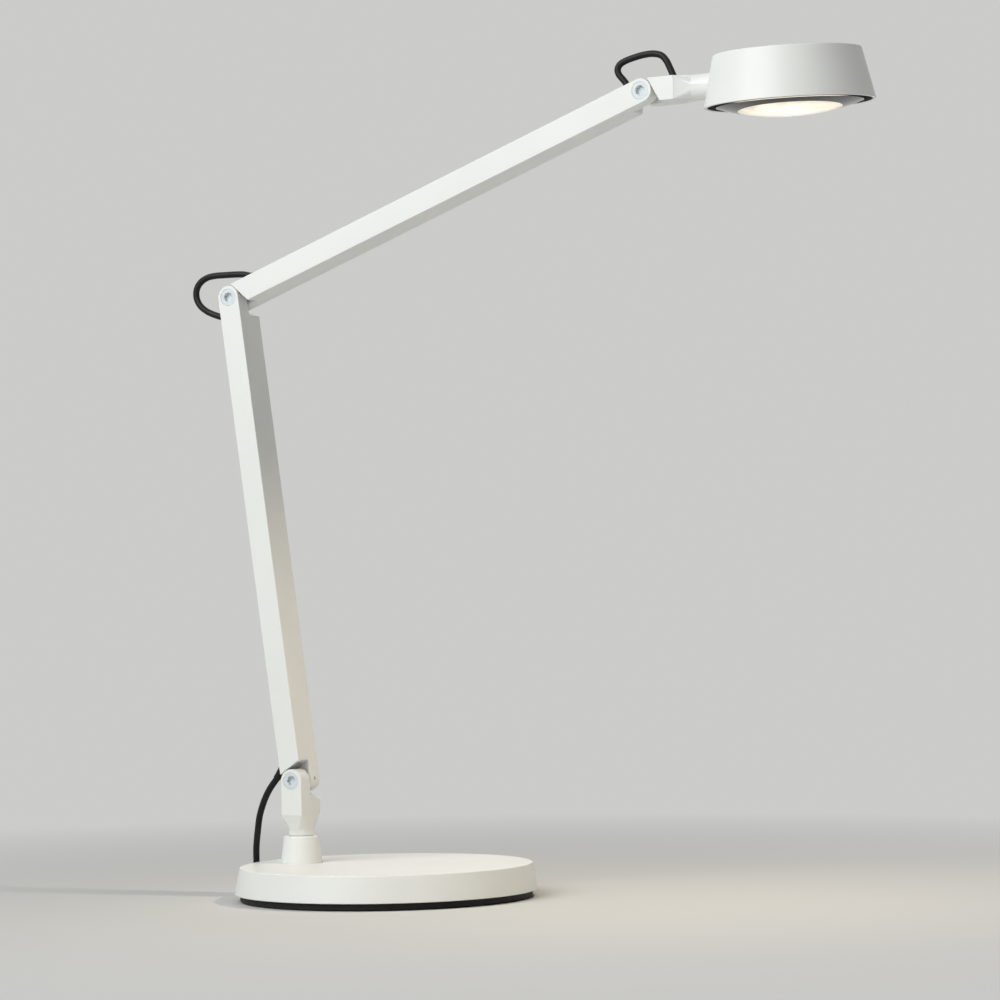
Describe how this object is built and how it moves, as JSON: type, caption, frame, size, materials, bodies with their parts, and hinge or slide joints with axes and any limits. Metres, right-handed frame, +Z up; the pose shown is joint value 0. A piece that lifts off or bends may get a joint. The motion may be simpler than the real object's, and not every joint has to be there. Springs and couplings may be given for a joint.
{
  "type": "desk lamp",
  "caption": "Articulated desk lamp: weighted round base, swivelling foot, two equal arms with half-lap friction hinges, flat tilting drum head with a domed lens",
  "frame": {"origin": "centre of the round base on the table", "axes": "+Z up, +X from the foot towards the head, the arms fold in the XZ plane"},
  "size_m": [0.5161, 0.276, 0.5734],
  "materials": {
    "pad_rubber": "black rubber pad, finely stippled",
    "white_paint": "white powder coat, satin",
    "plate_steel": "zinc-plated sheet steel",
    "weight_iron": "raw grey iron casting",
    "bare_steel": "plain turned steel",
    "bolt_zinc": "blue zinc plating, fine turning marks",
    "bearing_brass": "turned brass",
    "bearing_nylon": "white nylon",
    "friction_lining": "dark friction fibre",
    "insert_aluminium": "milled aluminium",
    "cable_jacket": "black cable jacket, slightly glossy",
    "plug_plastic": "moulded black plastic",
    "bezel_plastic": "black moulded ring, semi-gloss",
    "lens_clear": "clear moulded lens",
    "reflector_white": "bright white moulded reflector",
    "led_yellow": "LED board with yellow emitter",
    "board_green": "green circuit board",
    "button_white": "white moulded button",
    "pin_nickel": "nickel-plated plug pins"
  },
  "bodies": {
    "base": {"foot_pad": "pad_rubber", "base_plate": "plate_steel", "base_weight": "weight_iron", "base_cover": "white_paint", "base_screws": "bare_steel", "collar": "white_paint", "collar_bush": "bearing_nylon", "collar_nut": "bare_steel", "power_cord": "cable_jacket", "power_cord_coil": "cable_jacket", "cord_tie": "cable_jacket", "plug_lead": "cable_jacket", "plug_body": "plug_plastic", "plug_pins": "pin_nickel"},
    "foot": {"foot_knuckle": "white_paint", "stem_pin": "bare_steel", "stem_clip": "bare_steel", "foot_bolt": "bolt_zinc", "foot_springs": "bare_steel", "foot_nut": "bolt_zinc"},
    "lower_arm": {"foot_disc": "friction_lining", "foot_sleeve": "bearing_brass", "lower_arm_tube": "white_paint", "lower_arm_foot_insert": "insert_aluminium", "lower_arm_elbow_insert": "insert_aluminium", "lower_arm_screws": "bolt_zinc", "lower_arm_cable": "cable_jacket", "lower_arm_grommet": "cable_jacket", "cord_relief": "cable_jacket", "elbow_bolt": "bolt_zinc", "elbow_springs": "bare_steel", "elbow_nut": "bolt_zinc"},
    "upper_arm": {"elbow_disc": "friction_lining", "elbow_sleeve": "bearing_brass", "elbow_cable": "cable_jacket", "upper_arm_tube": "white_paint", "upper_arm_elbow_insert": "insert_aluminium", "upper_arm_head_insert": "insert_aluminium", "upper_arm_screws": "bolt_zinc", "upper_arm_cable": "cable_jacket", "upper_arm_grommets": "cable_jacket", "head_bolt": "bolt_zinc", "head_springs": "bare_steel", "head_nut": "bolt_zinc"},
    "head_joint": {"head_disc": "friction_lining", "head_sleeve": "bearing_brass", "head_cable": "cable_jacket", "head_knuckle": "white_paint", "neck_cable": "cable_jacket", "twist_washer": "bare_steel", "twist_clip": "bare_steel"},
    "head": {"head_shell": "white_paint", "bezel_ring": "bezel_plastic", "lens": "lens_clear", "reflector": "reflector_white", "led_board": "led_yellow", "heat_sink": "insert_aluminium", "dimmer_board": "board_green", "head_screws": "bare_steel"},
    "button": {"dimmer_button": "button_white"}
  },
  "joints": [
    {"name": "base_swivel", "type": "hinge", "parent": "base", "child": "foot", "pos_m": [-0.067, 0, 0.04], "axis": [0, 0, 1], "range_deg": [-90, 90], "deforming": ["power_cord"]},
    {"name": "foot_pivot", "type": "hinge", "parent": "foot", "child": "lower_arm", "pos_m": [-0.067, 0, 0.0815], "axis": [0, -1, 0], "range_deg": [-35, 35], "deforming": ["cord_relief"]},
    {"name": "elbow_pivot", "type": "hinge", "parent": "lower_arm", "child": "upper_arm", "pos_m": [-0.11101, 0, 0.42267], "axis": [0, -1, 0], "range_deg": [-35, 76], "deforming": ["elbow_cable"]},
    {"name": "head_tilt", "type": "hinge", "parent": "upper_arm", "child": "head_joint", "pos_m": [0.21036, 0, 0.54539], "axis": [0, -1, 0], "range_deg": [-75, 60], "deforming": ["head_cable"]},
    {"name": "head_twist", "type": "hinge", "parent": "head_joint", "child": "head", "pos_m": [0.26635, 0, 0.54647], "axis": [0.9998, 0, 0.0192], "range_deg": [-90, 90]},
    {"name": "button_press", "type": "slide", "parent": "head", "child": "button", "axis": [0.0192, 0.048, -0.9987], "range_m": [0, 0.0012], "stiffness_N_per_m": 400, "springref_m": -0.0005}
  ]
}
